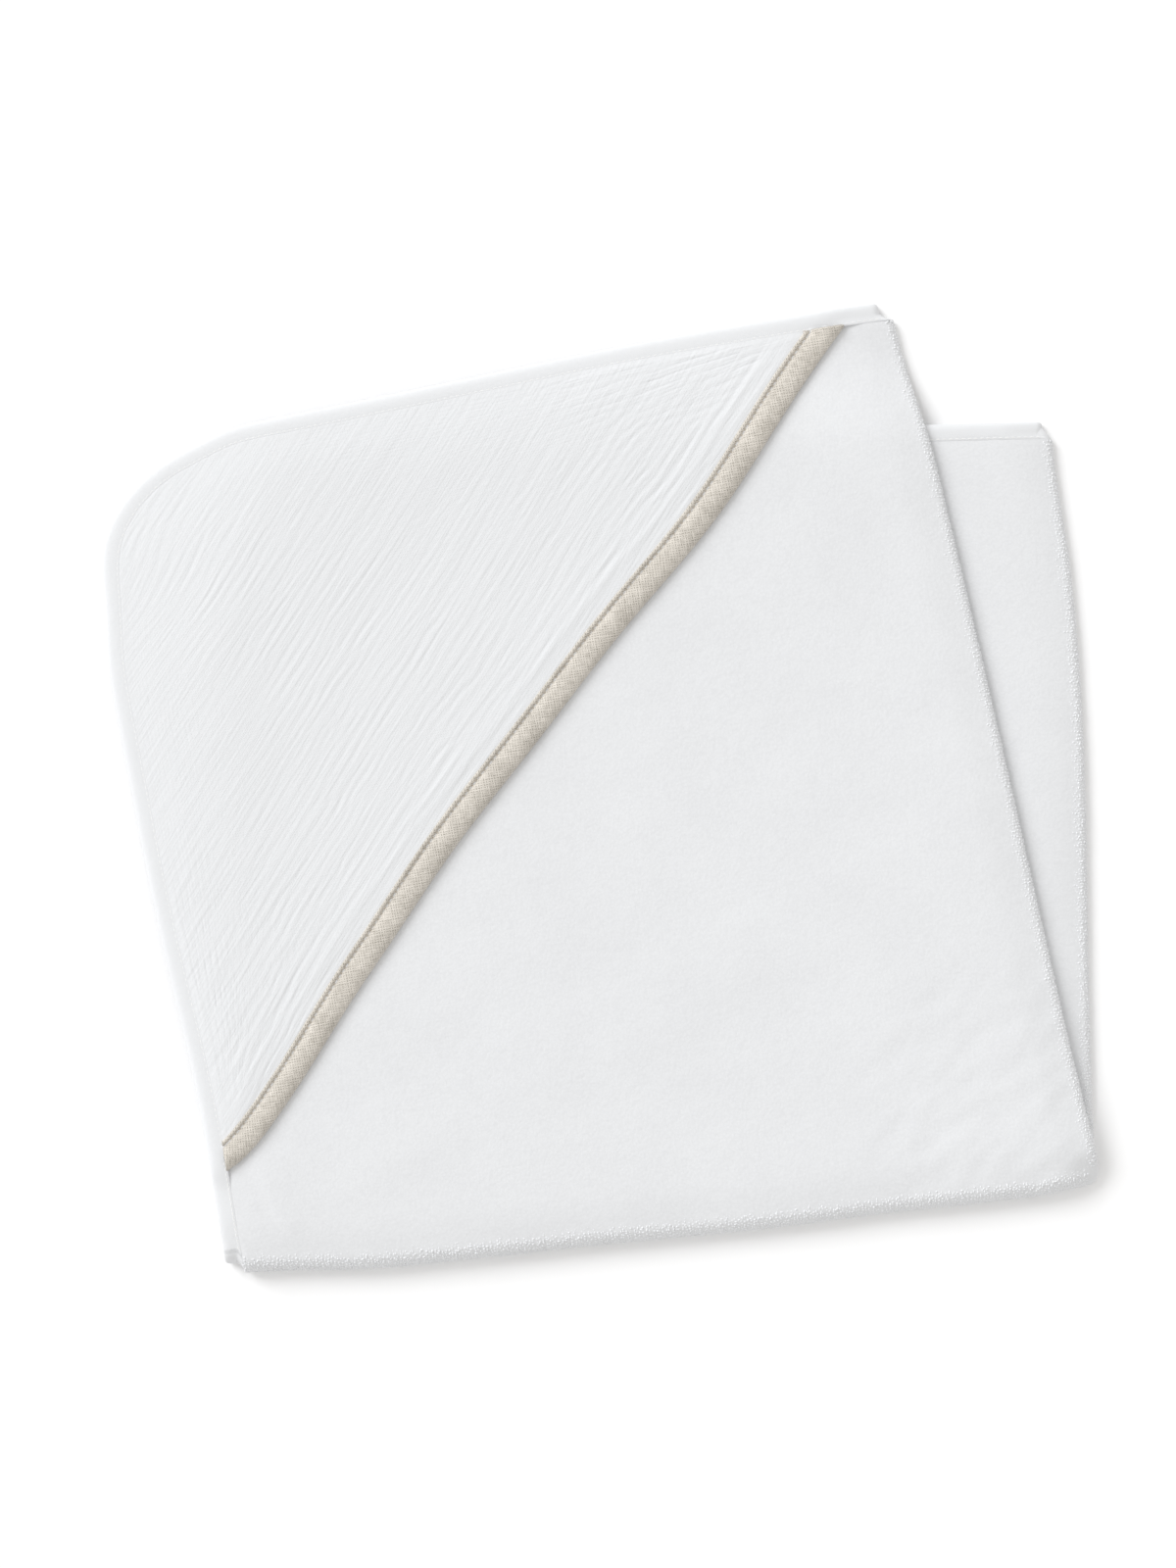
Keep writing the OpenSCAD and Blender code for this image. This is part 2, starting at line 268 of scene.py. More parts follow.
def relax(p, half_low):
    """Lets the folded cloth settle: edges bow a little, the stack swells and sinks, and the upper
    half droops to the table where the lower one doesn't hold it up. half_low is 0 on the upper
    half, 1 on the lower half, and in between round the bottom fold."""
    x, y, z = (np.array(p[..., i], float) for i in range(3))
    half_low = np.broadcast_to(half_low, x.shape)
    own_u, own_l = UPPER.own(x, y), LOWER.own(x, y)
    depth = -(own_u[1] * (1 - half_low) + own_l[1] * half_low)
    # height
    in_fold = ramp(y, FOLD_Y - 2 * MM, FOLD_Y + 12 * MM)
    pair_base = 2 * LAYER_RISE * (1 - half_low) * in_fold
    past_u = (x - UPPER.fold_x(y)) * (1 - half_low)
    past_l = (x - LOWER.fold_x(y)) * half_low
    pair_height = 2 * LAYER_RISE * (2 - in_fold)
    new_z = settle_fold(z, pair_base, pair_height, past_u + past_l, 0.30, 0.4)
    new_z = settle_fold(new_z, 0, 4 * LAYER_RISE, FOLD_Y - y, 0.12, 0.7)
    swell = 1 + 0.050 * noise(x / (120 * MM), y / (120 * MM), 1)
    swell = swell + 0.022 * noise(x / (46 * MM), y / (46 * MM), 2)
    rumple = (corner_rumple(x, y) + tape_end_dimple(x, y)) * z / (4 * LAYER_RISE)
    sink = (STACK_MID + LAYER_GAP / 2 - 0.2 * MM) * overhang(x, y) * (1 - half_low)
    new_z = new_z * swell + rumple - sink
    # outline
    share = np.clip((z - pair_base) / pair_height, 0, 0.5)
    foot = 0.8 * (ROLL_R + HALF_T) * (1 - 2 * np.sqrt(share * (1 - share)))
    foot = foot * ramp(past_u + past_l, -3 * MM, 3 * MM)
    dx = foot + side_fold_bulge(y, depth, half_low) * ramp(x, 20 * MM, 150 * MM)
    dx = dx + (1 - half_low) * ramp(x, -120 * MM, -200 * MM) * (
        3.4 * MM * bump(y, -112 * MM, 62 * MM) + 3.8 * MM * bump(y, 121 * MM, 22 * MM)
    )
    top_bow = 2.2 * MM * bump(x, 30 * MM, 90 * MM) - 1.6 * MM * ramp(x, 120 * MM, 175 * MM) - MM
    top_bow = top_bow * ramp(y, 60 * MM, 200 * MM)
    dy = top_bow * (1 - half_low) + bottom_fold_lift(x) * ramp(y, -130 * MM, -196 * MM)
    dy = dy + 0.9 * MM * noise(x / (70 * MM), 0.3, 5) * ramp(y, -120 * MM, -190 * MM)
    push, way_x, way_y = corner_push(*own_u)
    push = push * (1 - half_low)
    dx = dx + push * (UPPER.c * way_x - UPPER.s * way_y)
    dy = dy + push * (UPPER.s * way_x + UPPER.c * way_y)
    return np.stack([x + dx, y + dy, new_z], -1)


# ---- meshes from grids of points ----

def grid_faces(rows, cols, offset=0, wrap_rows=False, wrap_cols=False, flip=False):
    """Quads over a grid of points, closed round on itself where a wrap says so."""
    r = np.arange(rows if wrap_rows else rows - 1)
    c = np.arange(cols if wrap_cols else cols - 1)
    r, c = np.meshgrid(r, c, indexing="ij")
    r1, c1 = (r + 1) % rows, (c + 1) % cols
    quads = np.stack([r * cols + c, r * cols + c1, r1 * cols + c1, r1 * cols + c], -1)
    quads = quads.reshape(-1, 4) + offset
    return quads[:, ::-1] if flip else quads


def rim_faces(rows, cols, offset):
    """Joins the border of a grid to the border of a second one whose points come offset later."""
    loop = np.concatenate([
        np.arange(cols),
        np.arange(1, rows) * cols + cols - 1,
        (rows - 1) * cols + np.arange(cols - 2, -1, -1),
        np.arange(rows - 2, 0, -1) * cols,
    ])
    after = np.roll(loop, -1)
    return np.stack([loop, loop + offset, after + offset, after], -1)


def make_mesh(name, points, quads, uv=None):
    """A mesh object. uv gives each point its place on the flat cloth, in metres."""
    points = np.ascontiguousarray(points.reshape(-1, 3), np.float32)
    mesh = bpy.data.meshes.new(name)
    mesh.vertices.add(len(points))
    mesh.vertices.foreach_set("co", points.ravel())
    mesh.loops.add(quads.size)
    mesh.loops.foreach_set("vertex_index", quads.ravel().astype(np.int32))
    mesh.polygons.add(len(quads))
    mesh.polygons.foreach_set("loop_start", np.arange(0, quads.size, 4, dtype=np.int32))
    mesh.update(calc_edges=True)
    mesh.polygons.foreach_set("use_smooth", np.full(len(quads), True))
    if uv is not None:
        layer = mesh.uv_layers.new(name="cloth")
        uv = uv.reshape(-1, 2)[quads.ravel()].astype(np.float32)
        layer.data.foreach_set("uv", uv.ravel())
    mesh.validate()
    obj = bpy.data.objects.new(name, mesh)
    bpy.context.scene.collection.objects.link(obj)
    return obj


def sheet_mesh(name, top, bottom, uv):
    """A closed sheet between two grids of points."""
    rows, cols = top.shape[:2]
    n = rows * cols
    points = np.concatenate([top.reshape(-1, 3), bottom.reshape(-1, 3)])
    quads = np.concatenate([
        grid_faces(rows, cols),
        grid_faces(rows, cols, n, flip=True),
        rim_faces(rows, cols, n),
    ])
    return make_mesh(name, points, quads, np.concatenate([uv.reshape(-1, 2)] * 2))


def bend_with_fold(obj, weight):
    """Cloth that crosses the bottom fold. This only bakes the object's placing into its mesh; it does
    not make the cloth bend with the fold. The layers lie too close for a straight line through them to
    part the halves, so the callers give each point a weight from its place on the cloth. weight is not
    used."""
    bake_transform(obj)


# ---- terry ----

PRESSED_HALF_T = 0.95 * MM       # half the cloth's thickness under the binding
TERRY_EDGE_IN = 1.3 * MM         # how far the terry stops short of the binding's outer edge
FACE_ROWS, UNDER_ROWS = 150, 52  # points across the hood quarter, and across those under it


def spread(fine, coarse, roll):
    """Positions across the whole cloth: a flat half, a rolled fold and another flat half.
    Gives the share of the way from the bound edge to the fold, and the angle round the fold."""
    share = np.concatenate([np.linspace(0, 1, fine), np.ones(roll), np.linspace(1, 0, coarse)])
    angle = np.concatenate([np.zeros(fine), np.linspace(0, PI, roll + 2)[1:-1], np.full(coarse, PI)])
    return share, angle


def quarter_point(half, a, b, edge_in):
    """A point of a half's outline. a runs from the side edge to the side fold and b from the top
    edge to the bottom fold, both from 0 to 1. The corner is rounded, and the two bound edges are
    moved in by edge_in."""
    x = a * (1 - b) * half.top + a * b * half.far[0] + (1 - a) * edge_in
    y = a * b * half.far[1] - (1 - a) * b * half.side - (1 - b) * edge_in
    r = CORNER_R - edge_in
    cx, cy = CORNER_R - x, CORNER_R + y
    in_corner = (cx > 0) & (cy > 0)
    dx, dy = np.clip(cx / r, 0, 1), np.clip(cy / r, 0, 1)
    rx = CORNER_R - r * dx * np.sqrt(1 - dy * dy / 2)
    ry = -CORNER_R + r * dy * np.sqrt(1 - dx * dx / 2)
    return np.where(in_corner, rx, x), np.where(in_corner, ry, y)


def terry_lumps(x, y):
    """The unevenness of the pile over the flat cloth."""
    coarse = 0.13 * MM * noise(x / (15 * MM), y / (15 * MM), 21)
    return coarse + 0.07 * MM * noise(x / (6.5 * MM), y / (6.5 * MM), 22)


def terry_half_thickness(depth, pile):
    """Half the cloth's thickness: full inside, pressed thin under the binding."""
    full = HALF_T - 0.1 * MM + pile
    return PRESSED_HALF_T + (full - PRESSED_HALF_T) * ramp(depth, 4 * MM, 7 * MM)


def make_terry():
    """The whole square of terry, folded twice. a and alpha run across it, b and beta down it."""
    a, alpha = spread(FACE_ROWS, UNDER_ROWS, 9)
    b, beta = spread(FACE_ROWS, UNDER_ROWS, 13)
    a, b = np.meshgrid(a, b)
    alpha, beta = np.meshgrid(alpha, beta)
    low = beta / PI
    ux, uy = quarter_point(UPPER, a, b, TERRY_EDGE_IN)
    lx, ly = quarter_point(LOWER, a, b, TERRY_EDGE_IN)
    depth = inset(ux, uy) * (low < 0.5) + inset(lx, ly) * (low >= 0.5)
    wu, wl = UPPER.place(ux, uy), LOWER.place(lx, ly)
    part = (low > 0.5).astype(float)
    x = wu[0] * (1 - part) + wl[0] * part
    y = wu[1] * (1 - part) + wl[1] * part
    out = UPPER.out * (1 - low[..., None]) + LOWER.out * low[..., None]
    outer = terry_half_thickness(depth, terry_lumps(x, y))
    inner = terry_half_thickness(depth, 0)
    top = relax(fold(x, y, out, alpha, beta, outer), low)
    bottom = relax(fold(x, y, out, alpha, beta, -inner), low)
    across = np.where(alpha < PI / 2, a, 2 - a) * FLAT_SIDE / 2
    down = np.where(beta < PI / 2, b, 2 - b) * FLAT_SIDE / 2
    obj = sheet_mesh("terry_body", top, bottom, np.stack([across, -down], -1))
    bend_with_fold(obj, np.concatenate([low.ravel()] * 2))
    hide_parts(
        "hood_quarter_terry", "side_quarter_terry", "back_quarter_terry",
        "base_quarter_terry", "upper_side_fold", "lower_side_fold", "outer_fold_upper",
        "outer_fold_lower", "inner_fold_upper", "inner_fold_lower",
    )
    return obj


# ---- the bound edge ----

def edge_run(half, step):
    """The bound edge of a half in its own frame, from the bottom fold to the side fold: points,
    and the way into the cloth at each."""
    def count(length):
        return max(3, int(round(length / step)) + 1)
    left = np.linspace(-half.side, -CORNER_R, count(half.side - CORNER_R))
    turn = np.linspace(PI, PI / 2, count(CORNER_R * PI / 2))[1:-1]
    top = np.linspace(CORNER_R, half.top, count(half.top - CORNER_R))
    p = np.concatenate([
        np.stack([0 * left, left], -1),
        np.stack([CORNER_R + CORNER_R * np.cos(turn), -CORNER_R + CORNER_R * np.sin(turn)], -1),
        np.stack([top, 0 * top], -1),
    ])
    n = np.concatenate([
        np.tile([1.0, 0.0], (len(left), 1)),
        np.stack([-np.cos(turn), -np.sin(turn)], -1),
        np.tile([0.0, -1.0], (len(top), 1)),
    ])
    return p, n


def edge_loop(step, roll_steps=10):
    """Stations all round the towel's bound edge, as a closed loop: place, way in, way out of the
    side fold, the angles round both folds, whether a hood covers it, and the distance so far."""
    place, way, out, alpha, beta, hood = [], [], [], [], [], []

    def add(half, p, n, al, be, cover):
        """Stations on one half, at p with the way in n."""
        q, m = half.laid(p, n)
        place.append(q)
        way.append(m)
        out.append(np.tile(half.out, (len(p), 1)))
        alpha.append(np.broadcast_to(al, len(p)))
        beta.append(np.broadcast_to(be, len(p)))
        hood.append(cover)

    def add_bottom(first, last, al, be):
        """Stations round the bottom fold, from the end of one half to the end of the other."""
        t = smooth(np.linspace(0, 1, len(be)))[:, None]
        p0, n0 = first
        p1, n1 = last
        place.append(p0 * (1 - t) + p1 * t)
        way.append(unit(n0 * (1 - t) + n1 * t))
        out.append(np.tile([1.0, 0.0], (len(be), 1)))
        alpha.append(np.full(len(be), al))
        beta.append(be)
        hood.append(np.zeros(len(be)))

    turn = np.linspace(0, PI, roll_steps + 2)[1:-1]
    runs = {half: edge_run(half, step) for half in (UPPER, LOWER)}

    def bottom_end(half):
        p, n = runs[half]
        return half.laid(p[:1], n[:1])

    for half, other, be in ((UPPER, LOWER, 0.0), (LOWER, UPPER, PI)):
        p, n = runs[half]
        tip = np.repeat(p[-1:], roll_steps, 0), np.repeat(n[-1:], roll_steps, 0)
        bare = np.zeros(len(p))
        turns = turn if half is UPPER else turn[::-1]
        add(half, p, n, be, be, hood_cover(p) if half is UPPER else bare)
        add(half, *tip, turns, be, np.zeros(roll_steps))
        add(half, p[::-1], n[::-1], PI - be, be, bare)
        add_bottom(bottom_end(half), bottom_end(other), PI - be, turns)
    loop = {
        "place": np.concatenate(place), "way": np.concatenate(way), "out": np.concatenate(out),
        "alpha": np.concatenate(alpha), "beta": np.concatenate(beta),
        "hood": np.concatenate(hood),
    }
    p = lay_edge(loop, np.zeros(1), np.zeros((len(loop["alpha"]), 1)))[:, 0]
    loop["run"] = run_along(p)
    return loop


def hood_cover(p):
    """1 where the hood's edge is under the binding, falling to 0 past the hood's front tape."""
    past = (p[:, 0] * HOOD_SIDE - p[:, 1] * HOOD_TOP - HOOD_SIDE * HOOD_TOP) / HOOD_EDGE
    return ramp(-past, -8 * MM, 3 * MM)


def lay_edge(loop, depth, k):
    """Points at each station, depth in from the edge and k above the middle of the cloth."""
    x = loop["place"][:, :1] + loop["way"][:, :1] * depth
    y = loop["place"][:, 1:] + loop["way"][:, 1:] * depth
    out = np.broadcast_to(loop["out"][:, None], (*x.shape, 2))
    alpha, beta = loop["alpha"][:, None], loop["beta"][:, None]
    p = fold(x, y, out, alpha, beta, k)
    return relax(p, np.broadcast_to(beta / PI, x.shape))


BINDING_T = 0.45 * MM            # the binding's own cloth
BINDING_STEP = 3.2 * MM          # between two stations along it
BINDING_TOP = 1.62 * MM          # height of its face over the middle of the terry
HOOD_RAISE = 2.1 * MM            # how much higher it stands over the hood's edges


def binding_section():
    """The binding's cross-section, as the path of its cloth: depth in from the edge, and height
    as a share of the face's height, from -1 below to 1 above. Both cut edges are turned under."""
    leg = [(0.30, 0.55), (0.62, 0.57), (0.90, 0.62), (0.985, 0.72), (1.0, 0.80), (0.985, 0.87),
           (0.95, 0.92), (0.90, 0.94), (0.87, 0.93), (0.83, 0.95), (0.77, 0.98), (0.70, 1.0),
           (0.58, 1.02), (0.42, 1.03), (0.26, 0.99), (0.14, 0.87), (0.055, 0.66), (0.012, 0.34)]
    leg = np.array(leg) * [BINDING_W, 1]
    lower = leg[::-1] * [1, -1]
    return np.concatenate([leg, [[0, 0]], lower])


def make_binding():
    loop = edge_loop(BINDING_STEP)
    path = binding_section()
    normal = path_normals(path * [1, BINDING_TOP])
    along = loop["run"][:, None]
    pucker = 0.10 * MM * noise(along / (7 * MM), path[None, :, 0] / (9 * MM), 31)
    wander = 0.35 * MM * noise(along / (40 * MM), 0.7, 32)
    raise_top = loop["hood"][:, None] * HOOD_RAISE
    mid = raise_top / 2
    depth = path[None, :, 0] + wander * path[None, :, 0] / BINDING_W

    def surface(offset):
        k = mid + path[None, :, 1] * (BINDING_TOP + raise_top / 2)
        k = k - offset * normal[None, :, 1] + pucker * np.abs(path[None, :, 1])
        return lay_edge(loop, depth - offset * normal[None, :, 0], k)

    outer, inner = surface(BINDING_T / 2), surface(-BINDING_T / 2)
    rows, cols = outer.shape[:2]
    n = rows * cols
    points = np.concatenate([outer.reshape(-1, 3), inner.reshape(-1, 3)])
    edge0 = np.arange(rows) * cols
    edge1 = edge0 + cols - 1

    def seam(edge, flip):
        after = np.roll(edge, -1)
        q = np.stack([edge, after, after + n, edge + n], -1)
        return q[:, ::-1] if flip else q

    quads = np.concatenate([
        grid_faces(rows, cols, 0, wrap_rows=True, flip=True),
        grid_faces(rows, cols, n, wrap_rows=True),
        seam(edge0, False), seam(edge1, True),
    ])
    length = run_along(path * [1, BINDING_TOP])
    uv = np.stack(np.broadcast_arrays(along, length[None, :]), -1)
    obj = make_mesh("edge_binding", points, quads, np.concatenate([uv.reshape(-1, 2)] * 2))
    low = np.broadcast_to(loop["beta"][:, None] / PI, (rows, cols))
    bend_with_fold(obj, np.concatenate([low.ravel()] * 2))
    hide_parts("hood_quarter_binding", "side_quarter_binding",
                "back_quarter_binding", "base_quarter_binding")
    return obj


# ---- stitches ----

EDGE_STITCH = 2.4 * MM, 0.24 * MM      # length and radius
EDGE_STITCH_STEP = 2.9 * MM
EDGE_STITCH_IN = 0.87 * BINDING_W


def thread_points(centres, tangents, ups, length, radius, sides=6):
    """Stitches or loops as short, plump lengths of thread that dip into the cloth at both ends.
    length and radius are the same for all, or hold one value for each."""
    t = np.linspace(-1, 1, 4)
    length = np.broadcast_to(length, len(centres))[:, None, None]
    radius = np.broadcast_to(radius, len(centres))[:, None]
    girth = np.sqrt(np.clip(1 - (0.94 * t) ** 4, 0, 1)) * radius
    dip = -0.9 * radius * t**4
    side = np.cross(tangents, ups)
    turn = np.arange(sides) * 2 * PI / sides
    ring = (np.cos(turn)[None, None, :, None] * side[:, None, None]
            + np.sin(turn)[None, None, :, None] * ups[:, None, None])
    line = centres[:, None] + tangents[:, None] * (t[None, :, None] * length / 2)
    line = line + ups[:, None] * dip[:, :, None]
    return line[:, :, None] + ring * girth[:, :, None, None]


def thread_mesh(name, points, uv=None):
    """A mesh from stitches, each a closed string of rings."""
    count, rings, sides = points.shape[:3]
    one = grid_faces(rings, sides, wrap_cols=True)
    i = np.arange(0, sides // 2 - 1)
    cap = np.stack([i, i + 1, sides - 2 - i, sides - 1 - i], -1)
    last = cap[:, ::-1] + (rings - 1) * sides
    one = np.concatenate([one[:, ::-1], cap[:, ::-1], last[:, ::-1]])
    quads = (one[None] + (np.arange(count) * rings * sides)[:, None, None]).reshape(-1, 4)
    if uv is not None:
        uv = np.repeat(uv, rings * sides, axis=0)
    return make_mesh(name, points, quads, uv)


def frames(line, normal_hint):
    """Centre, tangent and up at the middle of each step of a line of points."""
    centre = (line[1:] + line[:-1]) / 2
    tangent = unit(line[1:] - line[:-1])
    up = unit(normal_hint - (normal_hint * tangent).sum(1, keepdims=True) * tangent)
    return centre, tangent, up


def make_binding_stitches():
    """One row through the binding all round, seen on both faces of the towel."""
    loop = edge_loop(EDGE_STITCH_STEP, roll_steps=4)
    depth = np.full(1, EDGE_STITCH_IN)
    raise_top = loop["hood"][:, None] * HOOD_RAISE
    wander = 0.28 * MM * noise(loop["run"][:, None] / (40 * MM), 0.7, 32)
    parts, weights = [], []
    for side in (1, -1):
        k = side * (BINDING_TOP * 0.93 + 0.26 * MM)
        k = k + (raise_top * 0.91 if side == 1 else 0)
        line = lay_edge(loop, depth + wander, k)[:, 0]
        above = lay_edge(loop, depth + wander, k + side * MM)[:, 0]
        up = ((above - line)[1:] + (above - line)[:-1]) / 2
        centre, tangent, up = frames(line, up)
        p = thread_points(centre, tangent, up, *EDGE_STITCH)
        parts.append(p)
        low = loop["beta"] / PI
        weights.append(np.repeat((low[1:] + low[:-1]) / 2, p.shape[1] * p.shape[2]))
    obj = thread_mesh("binding_stitches", np.concatenate(parts))
    bend_with_fold(obj, np.concatenate(weights))
    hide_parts("upper_binding_stitching", "lower_binding_stitching")
    return obj


# ---- open pile on the folds ----
# Where the terry bends round a fold its loops stand apart, and they are modelled one by one.

PILE_STEP = 1.50 * MM
PILE_FLAT = 3.5 * MM               # how far the open pile reaches onto the flat cloth


def pile_rows(turn_r):
    """Rows of loops over a fold: how far each is round the turn, and how far onto the flat cloth
    before the turn (negative) or after it (positive)."""
    length = PI * turn_r
    u = np.arange(-PILE_FLAT, length + PILE_FLAT, PILE_STEP)
    return np.clip(u / turn_r, 0, PI), np.minimum(u, 0) + np.maximum(u - length, 0)


def make_pile(name, surface, rows, count, weight, rng):
    """Loops over a strip of cloth. surface(u, v, k) gives points for row and column numbers that
    needn't be whole, k above the face of the cloth. rows says how far each row is from the turn."""
    u, v = np.meshgrid(np.arange(len(rows)), np.arange(count), indexing="ij")
    flat = np.abs(rows)[u].ravel()
    u = (u + 0.5 * (v % 2) + rng.uniform(-0.35, 0.35, u.shape)).ravel()
    v = (v + rng.uniform(-0.35, 0.35, v.shape)).ravel()
    keep = rng.uniform(0, 1, len(u)) > flat / (1.3 * PILE_FLAT)
    u, v, flat = u[keep], v[keep], flat[keep]
    k = (rng.uniform(-0.12, 0.08, len(u)) - 0.36 * flat / PILE_FLAT) * MM
    centre = surface(u, v, k)
    up = unit(surface(u, v, k + MM) - centre)
    lean = rng.normal(0, 0.8, len(u))[:, None]
    du = unit(surface(u + 0.2, v, k) - surface(u - 0.2, v, k))
    dv = unit(surface(u, v + 0.2, k) - surface(u, v - 0.2, k))
    tangent = du * np.cos(lean) + dv * np.sin(lean)
    tangent = unit(tangent - (tangent * up).sum(1, keepdims=True) * up)
    length = rng.uniform(1.1, 1.8, len(u)) * MM
    radius = rng.uniform(0.34, 0.50, len(u)) * MM
    p = thread_points(centre, tangent, up, length, radius, sides=4)
    obj = thread_mesh(name, p, np.stack([u, v], -1) * PILE_STEP)
    bend_with_fold(obj, np.repeat(weight(u), p.shape[1] * p.shape[2]))
    return obj


def make_bottom_pile():
    beta_rows, flat_rows = pile_rows(LAYER_RISE + ROLL_R + HALF_T)
    rows = np.arange(len(beta_rows))
    start, stop = -FOLD_LEN / 2 + BINDING_W + MM, FOLD_LEN / 2

    def surface(u, v, k):
        beta = np.interp(u, rows, beta_rows)
        x = start + v * PILE_STEP
        y = FOLD_Y + np.abs(np.interp(u, rows, flat_rows))
        k = k + terry_half_thickness(CORNER_R, terry_lumps(x, y))
        out = np.broadcast_to([1.0, 0.0], (*x.shape, 2))
        return relax(fold(x, y, out, 0 * x, beta, k), beta / PI)

    def weight(u):
        return np.interp(u, rows, beta_rows) / PI

    count = int((stop - start) / PILE_STEP)
    rng = np.random.default_rng(5)
    return make_pile("bottom_fold_pile", surface, flat_rows, count, weight, rng)


def make_side_pile(name, half, beta, seed):
    alpha_rows, flat_rows = pile_rows(ROLL_R + HALF_T)
    rows = np.arange(len(alpha_rows))
    tip, end = np.array(half.place(half.top, 0)), np.array(half.place(*half.far))
    way = (end - tip) / np.linalg.norm(end - tip)
    start = tip + way * (BINDING_W + MM)

    def surface(u, v, k):
        alpha = np.interp(u, rows, alpha_rows)
        flat = np.abs(np.interp(u, rows, flat_rows))
        x = start[0] + way[0] * v * PILE_STEP - half.out[0] * flat
        y = start[1] + way[1] * v * PILE_STEP - half.out[1] * flat
        k = k + terry_half_thickness(CORNER_R, terry_lumps(x, y))
        out = np.broadcast_to(half.out, (*x.shape, 2))
        return relax(fold(x, y, out, alpha, 0 * x + beta, k), beta / PI)

    count = int(np.linalg.norm(end - start) / PILE_STEP)
    rng = np.random.default_rng(seed)
    return make_pile(name, surface, flat_rows, count, lambda u: 0 * u + beta / PI, rng)


# ---- hood ----
# The hood's own frame: s runs up along its front edge and t from the front edge to the corner.

HOOD_TURN = math.atan2(HOOD_SIDE, HOOD_TOP)
TAPE_IN = TAPE_W / 2


def tape_sway(s):
    """How far the hood's front edge strays from a straight line, towards the hood's corner."""
    out = 2.6 * bump(s, 190 * MM, 52 * MM) + 4.0 * bump(s, -4 * MM, 20 * MM)
    back = 5.4 * bump(s, 378 * MM, 56 * MM) + 2.1 * ramp(s, 120 * MM, 55 * MM)
    return (out - back) * MM


def hood_own(s, t):
    """The hood's s and t to the upper half's own x and y."""
    c, q = math.cos(HOOD_TURN), math.sin(HOOD_TURN)
    t = t + tape_sway(s) * ramp(t, 150 * MM, 0)
    return s * c - t * q, s * q + t * c - HOOD_SIDE


def lay_hood(s, t, k):
    """A point of the hood, k above the middle of the terry under it."""
    ox, oy = hood_own(s, t)
    x, y = UPPER.place(ox, oy)
    out = np.broadcast_to(UPPER.out, (*np.shape(x), 2))
    return relax(fold(x, y, out, np.zeros_like(x), np.zeros_like(x), k), 0.0)


def hood_span(t, edge_in):
    """For each t, the lowest and the highest s still edge_in inside the bound edge."""
    beyond = 60 * MM
    s = np.linspace(-beyond, HOOD_EDGE + beyond, 5000)
    x, y = hood_own(s[None], t[:, None])
    inside = inset(x, y) > edge_in
    return s[inside.argmax(1)], s[::-1][inside[:, ::-1].argmax(1)]


def hood_grid(rows, cols, edge_in, front):
    """A grid of s and t over the hood, from front across to edge_in inside the bound edge."""
    (first,), (last,) = hood_span(np.array([front + 0.5 * MM]), edge_in)
    s = np.linspace(first, last, cols)
    t = np.linspace(front, 260 * MM, 4000)
    x, y = hood_own(s[None], t[:, None])
    inside = inset(x, y) > edge_in
    far = t[::-1][inside[::-1].argmax(0)]
    share = np.linspace(0, 1, rows)[:, None]
    return np.broadcast_to(s[None], (rows, cols)), front + share * (far - front)[None]


def ribs(across, along, period, seed):
    """Nearly even ribs: 1 on their broad crests, 0 in the narrow creases between them, where the
    creases waver, fade and come back."""
    phase = across / period + 0.9 * noise(across / (9 * period), along / (70 * MM), seed)
    phase = phase + 0.30 * noise(across / (3 * period), along / (15 * MM), seed + 1)
    crease = 1 - np.abs(np.sin(PI * phase)) ** 0.7
    strength = 0.72 + 1.0 * noise(across / (1.7 * period), along / (34 * MM), seed + 2)
    return 1 - crease * np.clip(strength, 0.30, 1.15)


RIBS_TURN = HOOD_TURN + math.radians(4)
RIB_STEP, FINE_RIB_STEP, CROSS_RIB_STEP = 4.4 * MM, 3.3 * MM, 3.7 * MM


def gauze_crinkle(x, y, s):
    """Height of the crinkled gauze over its own smooth surface. Ribs run about along the front
    edge, and shorter ones cross them near both ends of the hood."""
    along, across = along_across(x - 100 * MM, y + 100 * MM, RIBS_TURN)
    across = across + 7 * MM * noise(x / (95 * MM), y / (95 * MM), 41)
    across = across + 1.5 * MM * noise(x / (17 * MM), y / (17 * MM), 42)
    main = ribs(across, along, RIB_STEP, 43)
    second = ribs(across + 0.06 * along, along, FINE_RIB_STEP, 47)
    broad = noise(across / (15 * MM), along / (110 * MM), 45)
    slanted = 0.62 * along + 0.78 * across, 0.62 * across - 0.78 * along
    crossing = ribs(*slanted, CROSS_RIB_STEP, 51)
    broken = np.clip(0.55 + 1.3 * noise(x / (8 * MM), y / (8 * MM), 53), 0, 1)
    crossing = 1 - (1 - crossing) * broken
    at_ends = ramp(s, 150 * MM, 50 * MM) + ramp(s, HOOD_EDGE - 140 * MM, HOOD_EDGE - 50 * MM)
    height = 0.25 * MM * main + 0.13 * MM * second + 0.15 * MM * broad
    height = height * (1 + 0.6 * at_ends) + 0.48 * MM * crossing * (0.12 + 0.88 * at_ends)
    return height - 0.36 * MM


GAUZE_T = 0.9 * MM               # the gauze's own two layers
GAUZE_MIDDLE = 4.15 * MM         # heights of its face over the middle of the terry
GAUZE_AT_TAPE = 4.3 * MM
GAUZE_UNDER_TAPE = 3.9 * MM
GAUZE_AT_SEAM = 3.72 * MM


